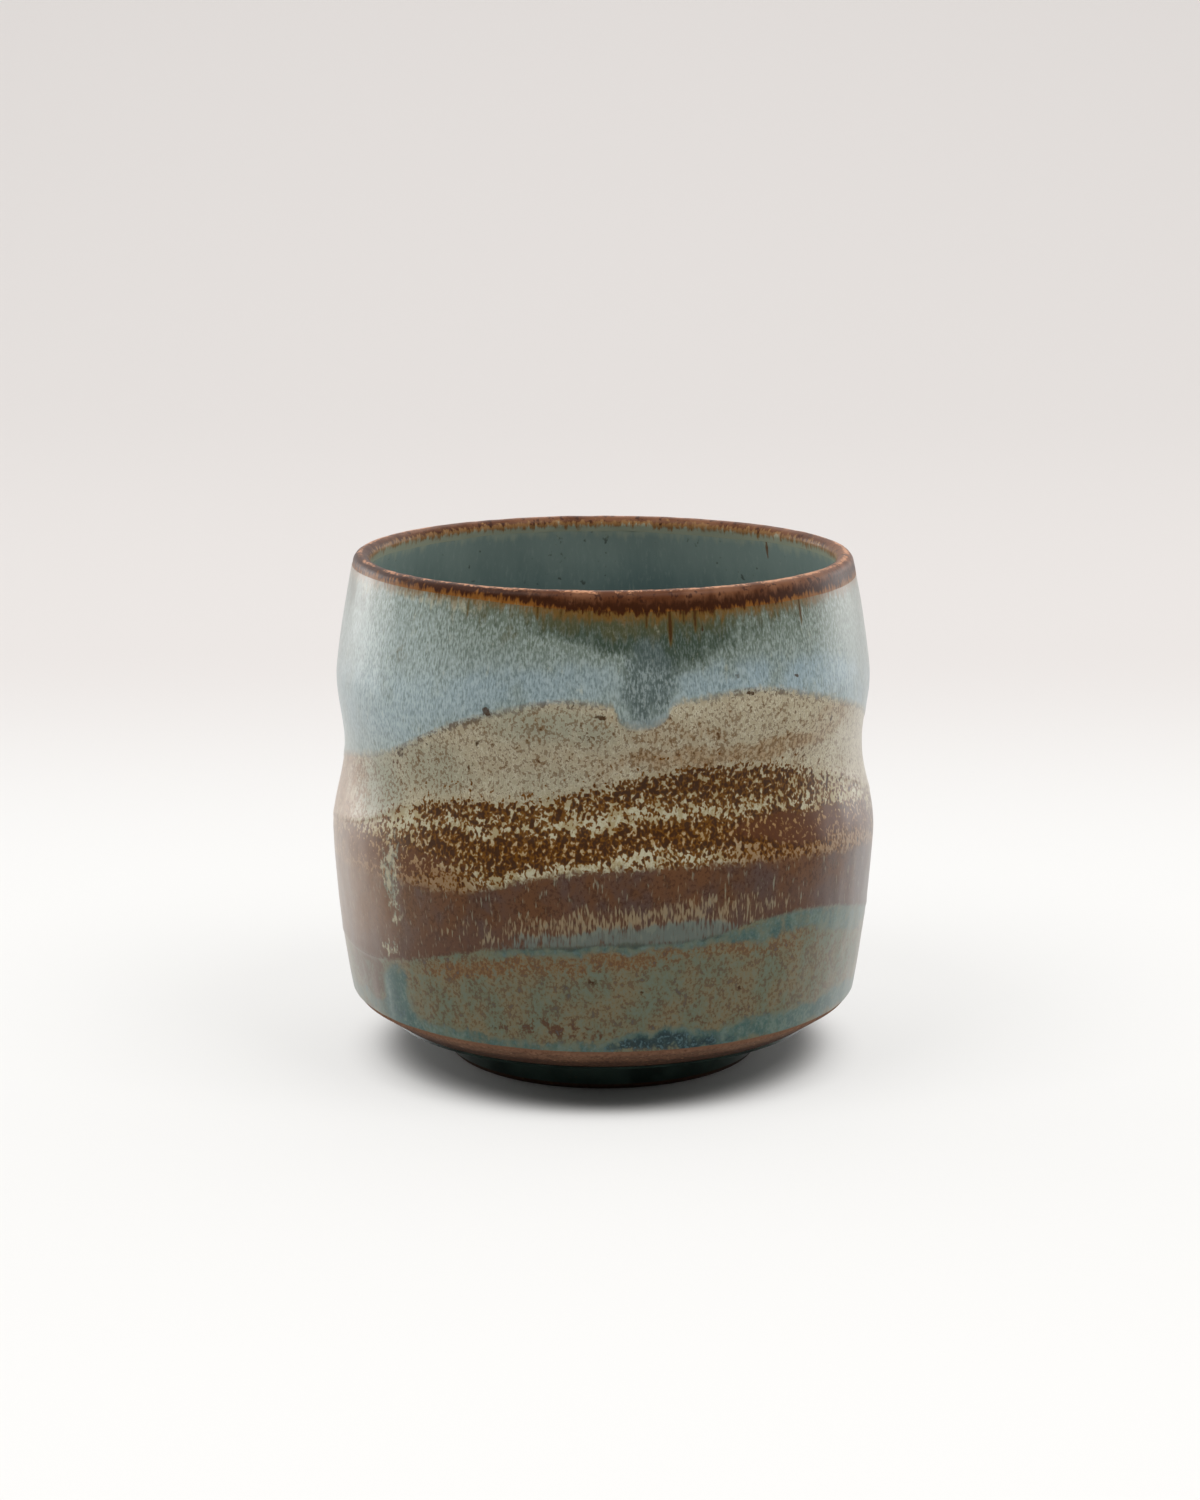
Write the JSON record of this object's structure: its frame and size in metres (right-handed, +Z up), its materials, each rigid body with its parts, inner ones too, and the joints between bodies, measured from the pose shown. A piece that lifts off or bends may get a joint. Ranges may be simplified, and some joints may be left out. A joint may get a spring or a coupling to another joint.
{
  "type": "tea cup",
  "caption": "Squat handleless stoneware tea cup with a pressed waist, a trimmed foot ring and layered glazes.",
  "frame": {"origin": "centre of the flat resting face of the foot ring", "axes": "+Z up along the axis of the cup; the front of the glaze pattern faces -Y"},
  "size_m": [0.0884, 0.0883, 0.0825],
  "materials": {
    "bare_stoneware": "toasted stoneware clay, unglazed, fine grog",
    "liner_celadon": "glossy green celadon glaze",
    "rim_iron": "satin iron-brown glaze that breaks amber",
    "upper_blue_grey": "semi-gloss blue-grey glaze with fine vertical runs",
    "oatmeal": "satin oatmeal glaze with tan mottling",
    "mottled_brown_cream": "crawled dark brown glaze with a cream network",
    "smooth_iron_brown": "smooth semi-gloss purple-brown iron glaze",
    "lower_green": "semi-gloss green glaze with brown speckle and teal pools",
    "foot_green": "thin dark green glaze"
  },
  "bodies": {
    "root": {"stoneware_body": "bare_stoneware", "liner_glaze": "liner_celadon", "rim_glaze": "rim_iron", "upper_glaze": "upper_blue_grey", "oatmeal_glaze": "oatmeal", "mottled_glaze": "mottled_brown_cream", "iron_glaze": "smooth_iron_brown", "lower_glaze": "lower_green", "foot_glaze": "foot_green", "recess_glaze": "foot_green"}
  },
  "joints": []
}
